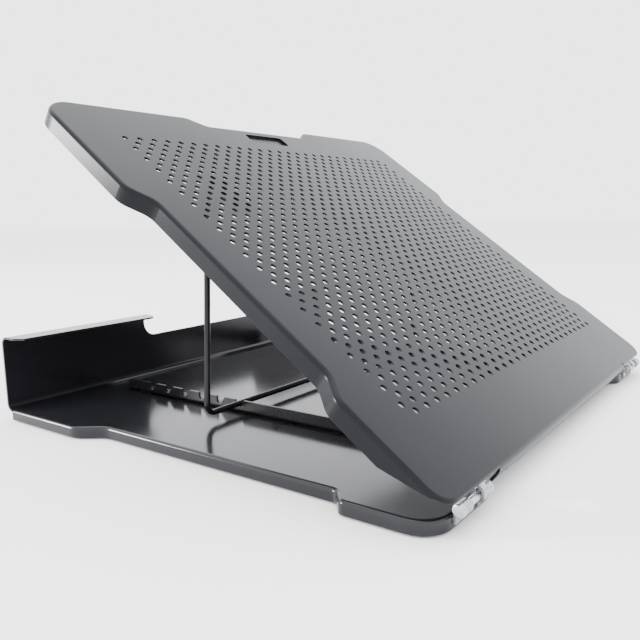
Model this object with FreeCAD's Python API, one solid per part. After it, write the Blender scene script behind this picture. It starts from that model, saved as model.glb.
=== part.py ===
import FreeCAD, Part
import math
import os

# Adjustable steel laptop stand: a folded base pan, a perforated platform hinged along its
# front edge, and a bent wire frame that props the platform in one of six rack notches.
# Millimetres. X is across the stand, Y runs from the user to the back, Z is up from the desk.
# The origin is on the desk, at the middle of the stand's width and depth.

os.makedirs("parts", exist_ok=True)
V = FreeCAD.Vector

# ---- driving dimensions -------------------------------------------------------------------
# base pan
base_t = 1.4              # sheet thickness
base_depth = 330.0        # front face of the two front lobes to the back wall's outer face
base_top_z = 8.2          # upper face of the floor
base_skirt = 7.0          # height of the turned-down edge, floor's upper face to its lower edge
rear_half_w = 190.0       # half width behind the waist
waist_half_w = 178.5      # half width at the waist
front_half_w = 188.0      # half width in front of the waist
base_front_wide = 58.0    # length of the wide part in front of the waist
base_rear_wide = 93.5     # length from the rear end of the waist to the back wall
base_s_run = (8.0, 16.0)  # length of the S curves in front of and behind the waist
base_s_r = (6.0, 14.0)    # and their radii
base_lobe_half = 132.0    # inner end of a front lobe, from the middle
base_lobe_s = (14.0, 8.0) # width of the S curve beside a lobe, and its radius
base_recess = 12.0        # how far the front edge is set back between the lobes
base_corner_r = 16.0      # front corners
base_edge_r = 2.2         # outside radius of the turned-down edge
wall_top_z = 59.6         # top of the back wall's shelf
shelf_depth = 22.0        # shelf turned forward at the top of the wall
shelf_end_x = 70.0        # inner end of each shelf, from the middle
shelf_end_r = 9.0         # its rounded corner
shelf_clip = (4.0, 7.0)   # clipped outer front corner: width, length
gap_half = 68.0           # half width of the low middle of the wall
gap_z = 41.0              # top of the wall in the low middle
gap_corner_r = 11.0
wall_bend_r = 4.0         # inside radius of floor to wall and wall to shelf
# racks
rack_x = 108.0            # middle of the upright web
rack_t = 1.5
rack_h = 8.6              # web height above the floor
rack_foot = 12.0          # flat foot, towards the middle
rack_fold_r = 1.0         # inside radius of web to foot
rack_tail_r = 5.0         # rounded top corner at the rear end
rack_front_gap = 76.0     # front end of the rack behind the base's front face
rack_rear_gap = 29.0      # rear end of the rack ahead of the back wall's outer face
notch_first = 186.4       # wire's place in the front notch, behind the base's front face
notch_pitch = 17.4
notch_count = 6
notch_drop = 2.8          # wire centre below the web's top
notch_slope = 40.0        # front wall of a notch, degrees from upright
# support wire
wire_d = 4.0
wire_gap = 0.3            # wire to notch wall and wire to the platform's underside
wire_foot_x = 137.0       # corner where a leg turns into the cross bar
wire_head_x = 128.0       # corner where a leg turns in to its pivot end
wire_tip_x = 101.0        # end of the pivot end
wire_foot_r = 6.5         # centreline bend radii
wire_head_r = 4.5
# platform
tilt = 35.9               # platform pitch in the front notch, degrees
plat_t = 1.5
plat_front_v = -1.2       # cut front edge, measured up the slope from the reference line
plat_rear_v = 330.7
plat_s_half = (7.0, 6.8)        # half the length of each S curve
plat_s_r = 12.0
plat_skirt = 10.5         # height of the turned-down edge
plat_waist_v = (73.0, 227.8)    # middle of the front and rear S curves of each side
plat_corner_front_r = 12.0
plat_corner_rear_r = 21.0
plat_edge_r = 2.5         # outside radius of the side and rear edges
plat_nose_r = 5.0         # outside radius of the turned-down front edge
nose_front_v = -2.5       # outer face of the turned-down front edge
nose_half = 128.0         # the turned-down front edge stops short of the hinges
skirt_taper_v = 33.0      # the side edge reaches its full height here
plat_recess = 9.7         # rear edge set in at the middle
plat_recess_half = (57.0, 71.0)
plat_recess_r = 10.0
pocket = (44.0, 12.0, 1.9)      # plain pressed panel behind the holes: width, length, depth
pocket_v = 308.0
pocket_r = 3.0
# perforation: a staggered field of round holes
hole_d = 4.2
hole_pitch_u = 11.5
hole_pitch_v = 12.0
hole_cols = 27
hole_rows = 42
hole_front_v = 44.0
# front hinges: a headed pin in two curled base straps, with the platform's leaf between
pin_d = 4.0
pin_z = 10.6
pin_behind_edge = 3.65    # reference line of the platform, up the slope from the pin
pin_below_top = 6.15      # and above it, square to the slope
run_clear = 0.05          # radial clearance of a part that turns
strap_t = 1.3
strap_low = 2.0           # lower end of a strap above the turned-down edge's lower edge
outer_strap_x = (165.0, 172.0)
inner_strap_x = (142.5, 148.0)
leaf_x = (148.5, 153.5)
leaf_reach_v = 28.0
leaf_bend = 2.0           # centreline radius where the leaf turns down to its curl
pin_head_r = 3.4
pin_head_t = 2.0
retainer_r = 3.3
retainer_t = 0.8
pin_end = 1.5             # pin beyond its retainer
pin_chamfer = 0.4
# pivot brackets under the platform
pivot_v = 233.0
bracket_t = 1.2
bracket_fold_r = 0.5      # inside radius beside the loop
bracket_u = (103.0, 122.5)
bracket_half_v = 20.5
# feet
foot_r = 8.0
foot_inset_x = 30.0       # from the widest side edge
foot_inset_y = 34.0       # from the front face, and from the back wall's outer face

# ---- derived places -----------------------------------------------------------------------
wire_r = wire_d / 2.0
pin_r = pin_d / 2.0
hinge_reach = max(pin_r + run_clear + strap_t, pin_head_r, retainer_r)
base_rear_y = (base_depth + strap_t + pin_r + hinge_reach) / 2.0
base_front_y = base_rear_y - base_depth
skirt_low_z = base_top_z - base_skirt
floor_low_z = base_top_z - base_t
pin_y = base_front_y - strap_t - pin_r
a_tilt = math.radians(tilt)
slope_y = math.cos(a_tilt)
slope_z = math.sin(a_tilt)
ref_y = pin_y + pin_behind_edge * slope_y - pin_below_top * slope_z
ref_z = pin_z + pin_behind_edge * slope_z + pin_below_top * slope_y
pivot_n = -(plat_t + wire_gap + wire_r)
rack_top_z = base_top_z + rack_h
bar_y = base_front_y + notch_first
bar_z = rack_top_z - notch_drop


def on_slope(v, n):
    """World Y and Z of a point v up the platform's slope and n above its upper face."""
    return ref_y + v * slope_y - n * slope_z, ref_z + v * slope_z + n * slope_y


def to_slope(shape):
    """Move a shape drawn with the platform lying level to where the platform is."""
    s = shape.copy()
    s.rotate(V(0, 0, 0), V(1, 0, 0), tilt)
    s.translate(V(0, ref_y, ref_z))
    return s


def rounded_wire(corners, z=0.0):
    """Closed wire through corners (x, y, radius), each rounded by its radius."""
    edges = []
    arcs = []
    count = len(corners)
    for i in range(count):
        x, y, r = corners[i]
        here = V(x, y, z)
        before = V(corners[i - 1][0], corners[i - 1][1], z)
        after = V(corners[(i + 1) % count][0], corners[(i + 1) % count][1], z)
        d0 = (before - here).normalize()
        d1 = (after - here).normalize()
        if r <= 0:
            arcs.append((here, None, here))
            continue
        half = d0.getAngle(d1) / 2.0
        run = r / math.tan(half)
        middle = here + (d0 + d1).normalize() * (r / math.sin(half) - r)
        arcs.append((here + d0 * run, middle, here + d1 * run))
    for i in range(count):
        start, middle, end = arcs[i]
        if middle is not None:
            edges.append(Part.Arc(start, middle, end).toShape())
        following = arcs[(i + 1) % count][0]
        if (following - end).Length > 1e-6:
            edges.append(Part.makeLine(end, following))
    return Part.Wire(Part.__sortEdges__(edges))


def mirrored(half):
    """A full outline from its right half, listed from front middle to rear middle."""
    return half + [(-x, y, r) for x, y, r in reversed(half)]


def prism(wire, height):
    return Part.Face(wire).extrude(V(0, 0, height))


def box(x0, x1, y0, y1, z0, z1):
    return Part.makeBox(x1 - x0, y1 - y0, z1 - z0, V(x0, y0, z0))


def tray(corners, top_z, height, thickness, radius, open_rear_y=None):
    """Sheet pan, open below: a flat top with its edge turned down all round."""
    wire = rounded_wire(corners, top_z - height)
    outer = prism(wire, height)
    face = Part.Face(wire)
    inset = face.makeOffset2D(-thickness)
    inner = inset.extrude(V(0, 0, height - thickness))

    def rim(solid, z):
        found = []
        for e in solid.Edges:
            b = e.BoundBox
            level = abs(b.ZMin - z) < 1e-4 and abs(b.ZMax - z) < 1e-4
            rear = open_rear_y is not None and b.YMin > open_rear_y - 2 * thickness
            if level and not rear:
                found.append(e)
        return found

    outer = outer.makeFillet(radius, rim(outer, top_z))
    inner = inner.makeFillet(radius - thickness, rim(inner, top_z - thickness))
    return outer.cut(inner)


def bent_strip(start, heading, steps, thickness, x0, x1):
    """Strip of sheet seen from its side in the YZ plane, and x0 to x1 wide.

    It follows a centreline from start, heading in degrees from +Y towards +Z. A step is
    ("run", length) or ("turn", degrees, radius); a positive turn is towards the left hand.
    """
    y, z = start
    h = math.radians(heading)
    faces = (thickness / 2.0, -thickness / 2.0)

    def beside(cy, cz, direction, offset):
        return V(x0, cy - offset * math.sin(direction), cz + offset * math.cos(direction))

    edges = [Part.makeLine(beside(y, z, h, faces[0]), beside(y, z, h, faces[1]))]
    for step in steps:
        if step[0] == "run":
            next_h = h
            next_y = y + step[1] * math.cos(h)
            next_z = z + step[1] * math.sin(h)
        else:
            turn = math.radians(step[1])
            radius = math.copysign(step[2], turn)
            cy = y - radius * math.sin(h)
            cz = z + radius * math.cos(h)
            next_h = h + turn
            next_y = cy + radius * math.sin(next_h)
            next_z = cz - radius * math.cos(next_h)
        for offset in faces:
            first = beside(y, z, h, offset)
            last = beside(next_y, next_z, next_h, offset)
            if step[0] == "run":
                edges.append(Part.makeLine(first, last))
            else:
                mid_h = h + turn / 2.0
                mid_y = cy + radius * math.sin(mid_h)
                mid_z = cz - radius * math.cos(mid_h)
                edges.append(Part.Arc(first, beside(mid_y, mid_z, mid_h, offset), last).toShape())
        y, z, h = next_y, next_z, next_h
    edges.append(Part.makeLine(beside(y, z, h, faces[0]), beside(y, z, h, faces[1])))
    outline = Part.Wire(Part.__sortEdges__(edges))
    return Part.Face(outline).extrude(V(x1 - x0, 0, 0))


def save(name, shape, mirror=False):
    """Write one node, or its mirror image across the stand's middle plane."""
    if mirror:
        shape = shape.mirror(V(0, 0, 0), V(1, 0, 0))
    shape = shape.removeSplitter()
    if not shape.isValid():
        print("INVALID", name)
    print(name, len(shape.Solids), "solid, mm3", round(shape.Volume, 1))
    shape.exportStep("parts/" + name + ".step")


# ---- base pan -----------------------------------------------------------------------------
waist_front = base_front_y + base_front_wide
waist_rear = base_rear_y - base_rear_wide
recess_y = base_front_y + base_recess
base_outline = mirrored([
    (base_lobe_half - base_lobe_s[0], recess_y, base_lobe_s[1]),
    (base_lobe_half, base_front_y, base_lobe_s[1]),
    (front_half_w, base_front_y, base_corner_r),
    (front_half_w, waist_front - base_s_run[0], base_s_r[0]),
    (waist_half_w, waist_front, base_s_r[0]),
    (waist_half_w, waist_rear, base_s_r[1]),
    (rear_half_w, waist_rear + base_s_run[1], base_s_r[1]),
    (rear_half_w, base_rear_y, 0),
])
pan = tray(base_outline, base_top_z, base_skirt, base_t, base_edge_r, base_rear_y)
bend_r = wall_bend_r + base_t / 2.0
bend_y = base_rear_y - base_t - wall_bend_r
# the floor and its side edges stop where the bend into the wall starts
pan = pan.cut(box(-rear_half_w - 1, rear_half_w + 1, bend_y, base_rear_y + 1,
                  skirt_low_z - 1, base_top_z + 1))
wall_run = wall_top_z - base_top_z - 2 * wall_bend_r
wall = bent_strip((bend_y, base_top_z - base_t / 2.0), 0.0, [
    ("turn", 90.0, bend_r),
    ("run", wall_run - base_t),
    ("turn", 90.0, bend_r),
    ("run", shelf_depth - wall_bend_r - base_t),
], base_t, -rear_half_w, rear_half_w)
gap_cut = prism(rounded_wire([
    (-gap_half, gap_z, gap_corner_r),
    (gap_half, gap_z, gap_corner_r),
    (gap_half, wall_top_z + 20.0, 0),
    (-gap_half, wall_top_z + 20.0, 0),
]), 60.0)
gap_cut.rotate(V(0, 0, 0), V(1, 0, 0), 90)
gap_cut.translate(V(0, base_rear_y + 10.0, 0))
wall = wall.cut(gap_cut)
shelf_front_y = base_rear_y - shelf_depth
shelf_low_z = wall_top_z - base_t - 1.0
over = 5.0
clip_x = rear_half_w - shelf_clip[0]
clip_y = shelf_front_y + shelf_clip[1]
round_x = shelf_end_x + shelf_end_r
round_y = shelf_front_y + shelf_end_r
for side in (1, -1):
    # clipped outer corner and rounded inner end of each shelf
    wall = wall.cut(prism(rounded_wire([
        (side * rear_half_w, clip_y, 0),
        (side * (rear_half_w + over), clip_y, 0),
        (side * (rear_half_w + over), shelf_front_y - over, 0),
        (side * clip_x, shelf_front_y - over, 0),
        (side * clip_x, shelf_front_y, 0),
    ], shelf_low_z), over))
    x0, x1 = sorted((side * (shelf_end_x - over), side * round_x))
    corner = box(x0, x1, shelf_front_y - over, round_y, shelf_low_z, shelf_low_z + over)
    keep = Part.makeCylinder(shelf_end_r, 2 * over, V(side * round_x, round_y, shelf_low_z - over))
    wall = wall.cut(corner.cut(keep))
    # the shelf's inner end stands a little back from the gap's edge
    x0, x1 = sorted((side * (gap_half - over), side * shelf_end_x))
    wall = wall.cut(box(x0, x1, shelf_front_y - over, bend_y, shelf_low_z, shelf_low_z + over))
pan = pan.fuse(wall)
save("base_pan", pan)

# ---- racks --------------------------------------------------------------------------------
rack_front = base_front_y + rack_front_gap
rack_rear = base_rear_y - rack_rear_gap
rack_bend = rack_fold_r + rack_t / 2.0
rack = bent_strip((0.0, 0.0), 180.0, [
    ("run", rack_foot - rack_bend),
    ("turn", -90.0, rack_bend),
    ("run", rack_h - rack_bend - rack_t / 2.0),
], rack_t, 0.0, rack_rear - rack_front)
# drawn with the strip's length along X: turned so that it runs front to back
rack.rotate(V(0, 0, 0), V(0, 0, 1), 90)
lying = rack.BoundBox
rack.translate(V(rack_x - lying.XMax + rack_t / 2.0, rack_front - lying.YMin,
                 base_top_z - lying.ZMin))
seat_r = wire_r + wire_gap
a_slope = math.radians(notch_slope)
for k in range(notch_count):
    y = bar_y + k * notch_pitch
    low = V(0, y - seat_r * math.cos(a_slope), bar_z - seat_r * math.sin(a_slope))
    rise = rack_top_z + 1.0 - low.z
    high = V(0, low.y - rise * math.tan(a_slope), low.z + rise)
    rear_low = V(0, y + seat_r, bar_z)
    rear_high = V(0, y + seat_r, rack_top_z + 1.0)
    bottom = V(0, y, bar_z - seat_r)
    notch = Part.Wire([
        Part.makeLine(rear_high, rear_low),
        Part.Arc(rear_low, bottom, low).toShape(),
        Part.makeLine(low, high),
        Part.makeLine(high, rear_high),
    ])
    cutter = Part.Face(notch).extrude(V(20.0, 0, 0))
    cutter.translate(V(rack_x - 10.0, 0, 0))
    rack = rack.cut(cutter)
# rounded rear end of the web
tail_y = rack_rear - rack_tail_r
tail_z = rack_top_z - rack_tail_r
tail = box(rack_x - rack_t, rack_x + rack_t, tail_y, rack_rear + 1, tail_z, rack_top_z + 1)
tail = tail.cut(Part.makeCylinder(rack_tail_r, 4 * rack_t, V(rack_x - 2 * rack_t, tail_y, tail_z),
                                  V(1, 0, 0)))
rack = rack.cut(tail)
save("right_rack", rack)
save("left_rack", rack, mirror=True)

# ---- platform -----------------------------------------------------------------------------
v0, v1 = plat_waist_v
s0, s1 = plat_s_half
in0, in1 = plat_recess_half
plat_outline = mirrored([
    (front_half_w, plat_front_v, plat_corner_front_r),
    (front_half_w, v0 - s0, plat_s_r),
    (waist_half_w, v0 + s0, plat_s_r),
    (waist_half_w, v1 - s1, plat_s_r),
    (rear_half_w, v1 + s1, plat_s_r),
    (rear_half_w, plat_rear_v, plat_corner_rear_r),
    (in1, plat_rear_v, plat_recess_r),
    (in0, plat_rear_v - plat_recess, plat_recess_r),
])
plate = tray(plat_outline, 0.0, plat_skirt, plat_t, plat_edge_r)
# no turned-down edge at the front corners, and a tapered start to the side ones
nose_v = nose_front_v + plat_nose_r
taper = Part.makePolygon([
    V(-200, plat_front_v - 5.0, -plat_t),
    V(-200, plat_t / (plat_skirt / skirt_taper_v), -plat_t),
    V(-200, skirt_taper_v, -plat_skirt),
    V(-200, skirt_taper_v, -plat_skirt - 5.0),
    V(-200, plat_front_v - 5.0, -plat_skirt - 5.0),
    V(-200, plat_front_v - 5.0, -plat_t),
])
plate = plate.cut(Part.Face(taper).extrude(V(400, 0, 0)))
plate = plate.cut(box(-nose_half, nose_half, plat_front_v - 5.0, nose_v, -20, 5))
nose = bent_strip((nose_v, -plat_t / 2.0), 180.0, [
    ("turn", 90.0, plat_nose_r - plat_t / 2.0),
    ("run", plat_skirt - plat_nose_r),
], plat_t, -nose_half, nose_half)
plate = plate.fuse(nose)
# pressed panel
half_u, half_v, deep = pocket[0] / 2.0, pocket[1] / 2.0, pocket[2]


def panel(grow, z0, z1, radius):
    a, b = half_u + grow, half_v + grow
    return prism(rounded_wire([
        (-a, pocket_v - b, radius), (a, pocket_v - b, radius),
        (a, pocket_v + b, radius), (-a, pocket_v + b, radius),
    ], z0), z1 - z0)


plate = plate.fuse(panel(plat_t, -deep - plat_t, -plat_t / 2.0, pocket_r + plat_t))
plate = plate.cut(panel(0.0, -deep, 1.0, pocket_r))
# holes: a perforated sheet drawn as one face replaces the plain middle
hole_half_u = (hole_cols - 0.5) * hole_pitch_u / 2.0
rows = [hole_front_v + k * hole_pitch_v / 2.0 for k in range(hole_rows)]
margin = 4.0
field = (-hole_half_u - margin, hole_half_u + margin, rows[0] - margin, rows[-1] + margin)
plate = plate.cut(box(field[0], field[1], field[2], field[3], -plat_t - 0.5, 0.5))
rim_wire = Part.makePolygon([
    V(field[0], field[2], -plat_t), V(field[1], field[2], -plat_t),
    V(field[1], field[3], -plat_t), V(field[0], field[3], -plat_t),
    V(field[0], field[2], -plat_t),
])
wires = [rim_wire]
for k, v in enumerate(rows):
    shift = hole_pitch_u / 2.0 if k % 2 == 0 else 0.0
    for c in range(hole_cols):
        u = -hole_half_u + shift + c * hole_pitch_u
        wires.append(Part.Wire(Part.makeCircle(hole_d / 2.0, V(u, v, -plat_t))))
sheet = Part.Face(wires).extrude(V(0, 0, plat_t))
plate = plate.fuse(sheet)
save("platform_plate", to_slope(plate))

# ---- front hinges -------------------------------------------------------------------------
curl_r = pin_r + strap_t / 2.0
for where, (x0, x1) in (("outer", outer_strap_x), ("inner", inner_strap_x)):
    strap = bent_strip((base_front_y - strap_t / 2.0, skirt_low_z + strap_low), 90.0, [
        ("run", pin_z - skirt_low_z - strap_low),
        ("turn", 285.0, curl_r),
    ], strap_t, x0, x1)
    save("right_" + where + "_hinge_strap", strap)
    save("left_" + where + "_hinge_strap", strap, mirror=True)

leaf_r = pin_r + run_clear + strap_t / 2.0
leaf_n = -plat_t - strap_t / 2.0
front_y = pin_y - leaf_r
corner_v = (front_y - on_slope(0.0, leaf_n)[0]) / slope_y
corner_z = on_slope(corner_v, leaf_n)[1]
leaf_turn = 90.0 - tilt
tangent = leaf_bend * math.tan(math.radians(leaf_turn / 2.0))
leaf = bent_strip(on_slope(leaf_reach_v, leaf_n), 180.0 + tilt, [
    ("run", leaf_reach_v - corner_v - tangent),
    ("turn", leaf_turn, leaf_bend),
    ("run", corner_z - tangent - pin_z),
    ("turn", 255.0, leaf_r),
], strap_t, leaf_x[0], leaf_x[1])
save("right_hinge_leaf", leaf)
save("left_hinge_leaf", leaf, mirror=True)

pin_in = inner_strap_x[0] - retainer_t - pin_end
pin_out = outer_strap_x[1]
pin = Part.makeCylinder(pin_r, pin_out - pin_in, V(pin_in, pin_y, pin_z), V(1, 0, 0))
head = Part.makeCylinder(pin_head_r, pin_head_t, V(pin_out, pin_y, pin_z), V(1, 0, 0))
head_rim = [e for e in head.Edges if e.BoundBox.XMin > pin_out + 0.5 * pin_head_t]
head = head.makeFillet(0.5 * pin_head_t, head_rim)
pin = pin.fuse(head)
pin = pin.makeChamfer(pin_chamfer, [e for e in pin.Edges if e.BoundBox.XMax < pin_in + 0.1])
save("right_hinge_pin", pin)
save("left_hinge_pin", pin, mirror=True)

ring_x = inner_strap_x[0] - retainer_t
ring = Part.makeCylinder(retainer_r, retainer_t, V(ring_x, pin_y, pin_z), V(1, 0, 0))
ring = ring.cut(Part.makeCylinder(pin_r, retainer_t, V(ring_x, pin_y, pin_z), V(1, 0, 0)))
save("right_pin_retainer", ring)
save("left_pin_retainer", ring, mirror=True)

# ---- pivot brackets under the platform ----------------------------------------------------
loop_r = wire_r + run_clear + bracket_t / 2.0
flat_n = -plat_t - bracket_t / 2.0
shoulder = bracket_fold_r + bracket_t / 2.0
flat = bracket_half_v - loop_r - shoulder
drop = (flat_n - shoulder) - pivot_n
bracket = bent_strip((pivot_v - bracket_half_v, flat_n), 0.0, [
    ("run", flat),
    ("turn", -90.0, shoulder),
    ("run", drop),
    ("turn", 180.0, loop_r),
    ("run", drop),
    ("turn", -90.0, shoulder),
    ("run", flat),
], bracket_t, bracket_u[0], bracket_u[1])
save("right_pivot_bracket", to_slope(bracket))
save("left_pivot_bracket", to_slope(bracket), mirror=True)

# ---- support wire -------------------------------------------------------------------------
head_y, head_z = on_slope(pivot_v, pivot_n)
leg_len = math.hypot(head_y - bar_y, head_z - bar_z)
lean = math.degrees(math.atan2(head_y - bar_y, head_z - bar_z))


def wire_path():
    """Centreline in its own plane: across the stand, and up from the cross bar."""
    pts = [
        (-wire_tip_x, leg_len, 0), (-wire_head_x, leg_len, wire_head_r),
        (-wire_foot_x, 0.0, wire_foot_r), (wire_foot_x, 0.0, wire_foot_r),
        (wire_head_x, leg_len, wire_head_r), (wire_tip_x, leg_len, 0),
    ]
    edges = []
    last = V(pts[0][0], 0, pts[0][1])
    for i in range(1, len(pts) - 1):
        x, h, r = pts[i]
        here = V(x, 0, h)
        d0 = (V(pts[i - 1][0], 0, pts[i - 1][1]) - here).normalize()
        d1 = (V(pts[i + 1][0], 0, pts[i + 1][1]) - here).normalize()
        half = d0.getAngle(d1) / 2.0
        run = r / math.tan(half)
        start, end = here + d0 * run, here + d1 * run
        middle = here + (d0 + d1).normalize() * (r / math.sin(half) - r)
        edges.append(Part.makeLine(last, start))
        edges.append(Part.Arc(start, middle, end).toShape())
        last = end
    edges.append(Part.makeLine(last, V(pts[-1][0], 0, pts[-1][1])))
    return Part.Wire(edges)


path = wire_path()
profile = Part.Wire(Part.makeCircle(wire_r, V(-wire_tip_x, 0, leg_len), V(1, 0, 0)))
frame = path.makePipeShell([profile], True, False)
frame.rotate(V(0, 0, 0), V(1, 0, 0), -lean)
frame.translate(V(0, bar_y, bar_z))
save("support_wire", frame)

# ---- feet ---------------------------------------------------------------------------------
foot_x = front_half_w - foot_inset_x
foot_rows = (("front", base_front_y + foot_inset_y), ("rear", base_rear_y - foot_inset_y))
foot_places = [(row + side, x, y) for row, y in foot_rows
               for side, x in (("_left", -foot_x), ("_right", foot_x))]
for name, x, y in foot_places:
    foot = Part.makeCylinder(foot_r, floor_low_z, V(x, y, 0))
    foot = foot.makeFillet(1.0, [e for e in foot.Edges if e.BoundBox.ZMax < 0.1])
    save(name + "_foot", foot)
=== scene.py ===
"""Looks of the laptop stand: finishes, studio, camera. Metres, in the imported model's frame."""
import math

import bpy
from mathutils import Matrix, Vector

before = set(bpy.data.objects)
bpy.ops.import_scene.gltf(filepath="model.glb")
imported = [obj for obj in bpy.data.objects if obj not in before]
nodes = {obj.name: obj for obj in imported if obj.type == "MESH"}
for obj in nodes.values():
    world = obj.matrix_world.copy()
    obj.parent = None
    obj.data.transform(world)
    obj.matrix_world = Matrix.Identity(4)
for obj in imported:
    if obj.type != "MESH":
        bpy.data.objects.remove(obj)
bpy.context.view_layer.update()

# ---- driving values -----------------------------------------------------------------------
CAMERA_AZIMUTH = -53.62       # degrees; 0 looks along +Y
CAMERA_ELEVATION = 8.91
CAMERA_ROLL = -1.19
CAMERA_PLACE = (-0.4294, -0.2814, 0.1387)
CAMERA_LENS = 38.03           # mm
CAMERA_SENSOR = 36.0          # mm
FLOOR_HALF = 8.0
SKY_COLOUR = (0.965, 0.975, 1.0, 1.0)
SKY_STRENGTH = 3.5
PAINT_METALLIC = 0.10
FLAKE_SCALE = 2600.0
FLAKE_GAIN = 6.0              # brightness of a flake over the paint's light tone
FLAKE_DEPTH = 0.000002
PEEL_DEPTH = 0.000007
EDGE_HIGHLIGHT_GAIN = 8.0               # brightness of the painted highlight on sharp edges and hole rims over the paint's light tone
EDGE_HIGHLIGHT_WIDTH = 0.0005

PLATFORM_NODES = ("platform_plate",)
BASE_NODES = ("base_pan",)
RACK_NODES = ("left_rack", "right_rack")
WIRE_NODES = ("support_wire",)
BRACKET_NODES = ("left_pivot_bracket", "right_pivot_bracket")
FOOT_NODES = tuple(n for n in nodes if n.endswith("_foot"))
TURNED_NODES = tuple(n for n in nodes if n.endswith("_pin") or n.endswith("_retainer"))
STRIP_NODES = tuple(n for n in nodes if n.endswith("_strap") or n.endswith("_leaf"))


# ---- shader helpers -----------------------------------------------------------------------
SOCKETS = {"metallic": "Metallic", "roughness": "Roughness", "specular": "Specular IOR Level"}


class Shader:
    """A new material whose nodes are added and wired by short calls."""

    def __init__(self, name):
        self.material = bpy.data.materials.new(name)
        self.material.use_nodes = True
        self.tree = self.material.node_tree
        self.bsdf = self.tree.nodes["Principled BSDF"]
        self.place = self.add("ShaderNodeTexCoord").outputs["Object"]

    def add(self, kind, **settings):
        node = self.tree.nodes.new(kind)
        for key, value in settings.items():
            setattr(node, key, value)
        return node

    def join(self, source, target):
        self.tree.links.new(source, target)

    def stretched(self, scale):
        """Object coordinates scaled apart on each axis."""
        mapping = self.add("ShaderNodeMapping")
        mapping.inputs["Scale"].default_value = scale
        self.join(self.place, mapping.inputs["Vector"])
        return mapping.outputs["Vector"]

    def noise(self, scale, detail=3.0, vector=None):
        node = self.add("ShaderNodeTexNoise")
        node.inputs["Scale"].default_value = scale
        node.inputs["Detail"].default_value = detail
        self.join(vector or self.place, node.inputs["Vector"])
        return node.outputs["Fac"]

    def cells(self, scale):
        node = self.add("ShaderNodeTexVoronoi")
        node.inputs["Scale"].default_value = scale
        self.join(self.place, node.inputs["Vector"])
        return node.outputs["Distance"]

    def remap(self, value, low, high, to_low, to_high):
        node = self.add("ShaderNodeMapRange")
        self.join(value, node.inputs["Value"])
        limits = {"From Min": low, "From Max": high, "To Min": to_low, "To Max": to_high}
        for key, number in limits.items():
            node.inputs[key].default_value = number
        return node.outputs["Result"]

    def mix(self, factor, colour_a, colour_b):
        node = self.add("ShaderNodeMix", data_type="RGBA")
        self.join(factor, node.inputs["Factor"])
        for key, colour in (("A", colour_a), ("B", colour_b)):
            socket = next(s for s in node.inputs if s.name == key and s.type == "RGBA")
            if isinstance(colour, tuple):
                socket.default_value = colour + (1.0,)
            else:
                self.join(colour, socket)
        return next(s for s in node.outputs if s.type == "RGBA")

    def maths(self, operation, a, b):
        node = self.add("ShaderNodeMath", operation=operation)
        for socket, value in zip(node.inputs, (a, b)):
            if isinstance(value, (int, float)):
                socket.default_value = value
            else:
                self.join(value, socket)
        return node.outputs[0]

    def edge_mask(self, radius):
        """1 along sharp edges, fading to 0 within the radius."""
        bevel = self.add("ShaderNodeBevel", samples=4)
        bevel.inputs["Radius"].default_value = radius
        geometry = self.add("ShaderNodeNewGeometry")
        dot = self.add("ShaderNodeVectorMath", operation="DOT_PRODUCT")
        self.join(bevel.outputs["Normal"], dot.inputs[0])
        self.join(geometry.outputs["True Normal"], dot.inputs[1])
        return self.remap(dot.outputs["Value"], 0.97, 0.80, 0.0, 1.0)

    def relief(self, layers):
        """Bump from (height, depth in metres) layers."""
        normal = None
        for height, depth in layers:
            bump = self.add("ShaderNodeBump")
            bump.inputs["Strength"].default_value = 1.0
            bump.inputs["Distance"].default_value = depth
            self.join(height, bump.inputs["Height"])
            if normal is not None:
                self.join(normal, bump.inputs["Normal"])
            normal = bump.outputs["Normal"]
        self.join(normal, self.bsdf.inputs["Normal"])

    def set(self, **values):
        for key, value in values.items():
            self.bsdf.inputs[SOCKETS[key]].default_value = value


def paint(name, dark, light, rough, specular, highlight_peak):
    """Dark powder coat: cloudy tone, fine flakes, orange peel, and a painted highlight along sharp
    edges and hole rims.
    """
    s = Shader(name)
    clouds = s.noise(14.0, 4.0)
    tone = s.mix(s.remap(clouds, 0.3, 0.7, 0.0, 1.0), dark, light)
    flakes = s.remap(s.cells(FLAKE_SCALE), 0.10, 0.22, 1.0, 0.0)
    patches = s.remap(s.noise(900.0, 2.0), 0.5, 0.75, 0.0, 0.55)
    tone = s.mix(s.maths("MULTIPLY", flakes, patches), tone, tuple(FLAKE_GAIN * c for c in light))
    # painted highlight: sharp edges and hole rims are lightened, broken up by noise, in place of
    # reflections
    highlight_breakup = s.remap(s.noise(120.0, 3.0), 0.35, 0.7, 0.2, highlight_peak)
    edge_highlight = s.maths("MULTIPLY", s.edge_mask(EDGE_HIGHLIGHT_WIDTH), highlight_breakup)
    tone = s.mix(edge_highlight, tone, tuple(EDGE_HIGHLIGHT_GAIN * c for c in light))
    s.join(tone, s.bsdf.inputs["Base Color"])
    haze = s.noise(9.0, 3.0)
    s.join(s.remap(haze, 0.3, 0.7, rough - 0.02, rough + 0.02), s.bsdf.inputs["Roughness"])
    s.set(metallic=PAINT_METALLIC, specular=specular)
    s.relief(((s.noise(480.0, 2.0), PEEL_DEPTH), (s.cells(FLAKE_SCALE), FLAKE_DEPTH)))
    return s.material


def plated(name, dark, light, rough, grain, streak):
    """Plated steel: fine drawn or rolled lines along one axis, faint spangle and dull spots."""
    s = Shader(name)
    lines = s.noise(streak, 3.0, s.stretched(grain))
    spangle = s.cells(700.0)
    tone = s.mix(s.remap(lines, 0.3, 0.7, 0.0, 1.0), dark, light)
    dull = s.remap(s.noise(260.0, 4.0), 0.55, 0.75, 0.0, 0.35)
    tone = s.mix(dull, tone, tuple(0.6 * c for c in dark))
    s.join(tone, s.bsdf.inputs["Base Color"])
    s.join(s.remap(spangle, 0.0, 0.6, rough - 0.05, rough + 0.08), s.bsdf.inputs["Roughness"])
    s.set(metallic=1.0)
    s.relief(((lines, 0.000010), (spangle, 0.000004)))
    return s.material


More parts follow.
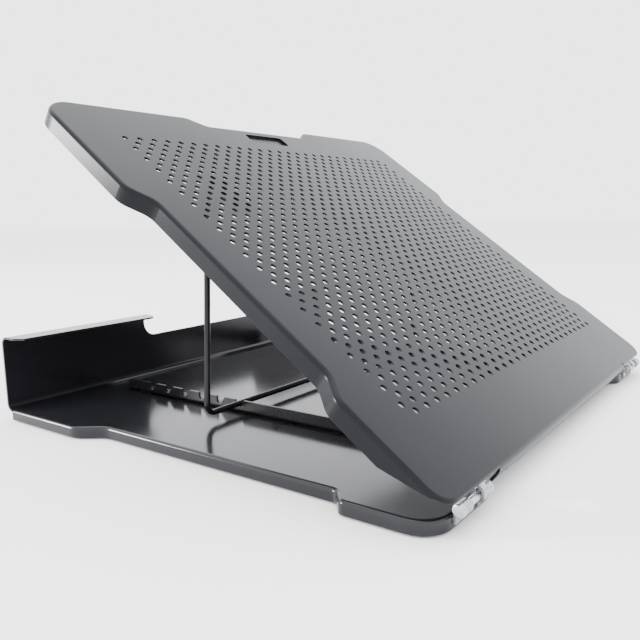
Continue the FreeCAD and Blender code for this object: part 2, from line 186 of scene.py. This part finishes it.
def moulded_rubber(name):
    """Matt moulded rubber with fine grain and dust in its low spots."""
    s = Shader(name)
    grain = s.noise(1500.0, 3.0)
    dust = s.remap(s.noise(90.0, 4.0), 0.45, 0.75, 0.0, 0.4)
    s.join(s.mix(dust, (0.012, 0.012, 0.012), (0.05, 0.048, 0.045)), s.bsdf.inputs["Base Color"])
    s.join(s.remap(grain, 0.3, 0.7, 0.72, 0.9), s.bsdf.inputs["Roughness"])
    s.relief(((grain, 0.00003),))
    return s.material


def wear(names, material):
    """Give nodes their one material."""
    for name in names:
        slots = nodes[name].data.materials
        slots.clear()
        slots.append(material)


# ---- finishes -----------------------------------------------------------------------------
BLACK_PAINT = ((0.006, 0.006, 0.0065), (0.009, 0.009, 0.010))

wear(PLATFORM_NODES, paint("platform_paint", (0.0052, 0.0056, 0.0070), (0.0078, 0.0084, 0.0105),
                           rough=0.26, specular=0.12, highlight_peak=0.45))
wear(BASE_NODES, paint("base_paint", (0.0070, 0.0070, 0.0085), (0.0095, 0.0095, 0.0120),
                       rough=0.16, specular=0.36, highlight_peak=0.35))
wear(RACK_NODES, paint("rack_paint", *BLACK_PAINT, rough=0.28, specular=0.20, highlight_peak=0.3))
wear(BRACKET_NODES, paint("bracket_paint", *BLACK_PAINT, rough=0.34, specular=0.30, highlight_peak=0.3))
wear(WIRE_NODES, paint("wire_paint", *BLACK_PAINT, rough=0.24, specular=0.22, highlight_peak=0.3))
wear(STRIP_NODES, plated("hinge_strip_zinc", (0.24, 0.245, 0.255), (0.42, 0.43, 0.445),
                         rough=0.26, grain=(0.3, 6.0, 6.0), streak=260.0))
wear(TURNED_NODES, plated("hinge_pin_zinc", (0.34, 0.345, 0.355), (0.54, 0.55, 0.565),
                          rough=0.20, grain=(8.0, 0.5, 0.5), streak=300.0))
wear(FOOT_NODES, moulded_rubber("foot_rubber"))


# ---- studio -------------------------------------------------------------------------------
def studio_floor():
    """Large pale floor."""
    half = FLOOR_HALF
    mesh = bpy.data.meshes.new("studio_floor")
    mesh.from_pydata([(-half, -half, 0), (half, -half, 0), (half, half, 0), (-half, half, 0)],
                     [], [(0, 1, 2, 3)])
    floor = bpy.data.objects.new("studio_floor", mesh)
    bpy.context.scene.collection.objects.link(floor)
    s = Shader("studio_floor")
    s.join(s.mix(s.noise(0.6), (0.90, 0.90, 0.905), (0.94, 0.94, 0.94)), s.bsdf.inputs["Base Color"])
    s.set(roughness=0.9)
    mesh.materials.append(s.material)


def soft_box(name, place, aim, size, power):
    """Area light turned towards a point, itself unseen."""
    light = bpy.data.lights.new(name, "AREA")
    light.shape = "RECTANGLE"
    light.size, light.size_y = size
    light.energy = power
    box = bpy.data.objects.new(name, light)
    box.location = place
    box.visible_camera = False
    box.rotation_euler = (Vector(aim) - Vector(place)).to_track_quat("-Z", "Y").to_euler()
    bpy.context.scene.collection.objects.link(box)


def white_room():
    """Even pale light from all round."""
    world = bpy.data.worlds.new("white_room")
    world.use_nodes = True
    sky = world.node_tree.nodes["Background"]
    sky.inputs["Color"].default_value = SKY_COLOUR
    sky.inputs["Strength"].default_value = SKY_STRENGTH
    bpy.context.scene.world = world


studio_floor()
white_room()
soft_box("top_box", (0.1, 0.2, 1.8), (0.0, 0.0, 0.08), (1.6, 1.6), 15.0)
soft_box("rear_left_box", (-1.1, 1.4, 0.5), (-0.19, 0.1, 0.2), (0.4, 0.4), 50.0)


# ---- camera -------------------------------------------------------------------------------
def aimed_camera():
    """The scene's camera, from its azimuth, elevation, roll and place."""
    azimuth = math.radians(CAMERA_AZIMUTH)
    elevation = math.radians(CAMERA_ELEVATION)
    roll = math.radians(CAMERA_ROLL)
    back = Vector((math.sin(azimuth) * math.cos(elevation),
                   -math.cos(azimuth) * math.cos(elevation),
                   math.sin(elevation)))
    right = (-back).cross(Vector((0.0, 0.0, 1.0))).normalized()
    up = back.cross(right)
    turned_right = right * math.cos(roll) + up * math.sin(roll)
    turned_up = up * math.cos(roll) - right * math.sin(roll)
    camera = bpy.data.objects.new("camera", bpy.data.cameras.new("camera"))
    camera.data.sensor_width = CAMERA_SENSOR
    camera.data.lens = CAMERA_LENS
    camera.data.clip_start = 0.01
    camera.matrix_world = Matrix.Translation(CAMERA_PLACE) @ Matrix(
        (turned_right, turned_up, back)).transposed().to_4x4()
    bpy.context.scene.collection.objects.link(camera)
    bpy.context.scene.camera = camera


aimed_camera()
